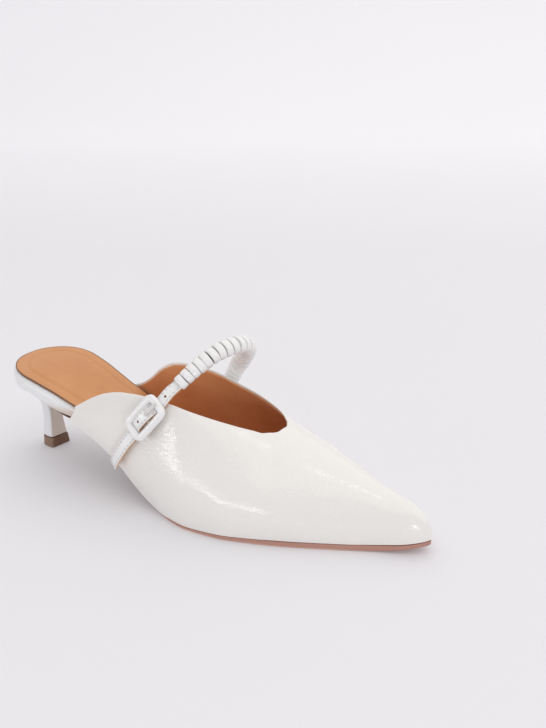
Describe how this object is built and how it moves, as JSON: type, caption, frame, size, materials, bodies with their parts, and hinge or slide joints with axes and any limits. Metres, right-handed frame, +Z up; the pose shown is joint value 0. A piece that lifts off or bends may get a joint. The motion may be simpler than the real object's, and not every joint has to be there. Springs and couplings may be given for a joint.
{
  "type": "kitten heel mule",
  "caption": "Right pointed-toe kitten-heel mule in off-white crinkled patent leather, with a buckled instep strap sleeved in leather rings.",
  "frame": {"origin": "middle of the heel tip's ground face", "axes": "+X along the shoe from heel to toe, +Y to the inner side of the right foot, +Z up"},
  "size_m": [0.2492, 0.0741, 0.087],
  "materials": {
    "patent_leather": "glossy crinkled patent",
    "ring_leather": "smooth semi-gloss",
    "sock_leather": "matte smooth tan",
    "sole_leather": "matte, terracotta edge",
    "heel_tip": "satin dark brown",
    "elastic_webbing": "matte black"
  },
  "bodies": {
    "root": {"outsole": "sole_leather", "top_lift": "heel_tip", "heel": "patent_leather", "footbed_board": "patent_leather", "sock": "sock_leather", "upper": "patent_leather", "buckle_tab": "patent_leather", "buckle": "patent_leather", "buckle_prong": "patent_leather", "flat_strap": "patent_leather", "elastic_core": "elastic_webbing", "ring_01": "ring_leather", "ring_02": "ring_leather", "ring_03": "ring_leather", "ring_04": "ring_leather", "ring_05": "ring_leather", "ring_06": "ring_leather", "ring_07": "ring_leather", "ring_08": "ring_leather", "ring_09": "ring_leather", "ring_10": "ring_leather", "ring_11": "ring_leather", "ring_12": "ring_leather", "ring_13": "ring_leather", "ring_14": "ring_leather", "ring_15": "ring_leather", "ring_16": "ring_leather", "ring_17": "ring_leather", "ring_18": "ring_leather", "ring_19": "ring_leather", "ring_20": "ring_leather", "ring_21": "ring_leather", "ring_22": "ring_leather", "strap_anchor": "patent_leather"}
  },
  "joints": []
}
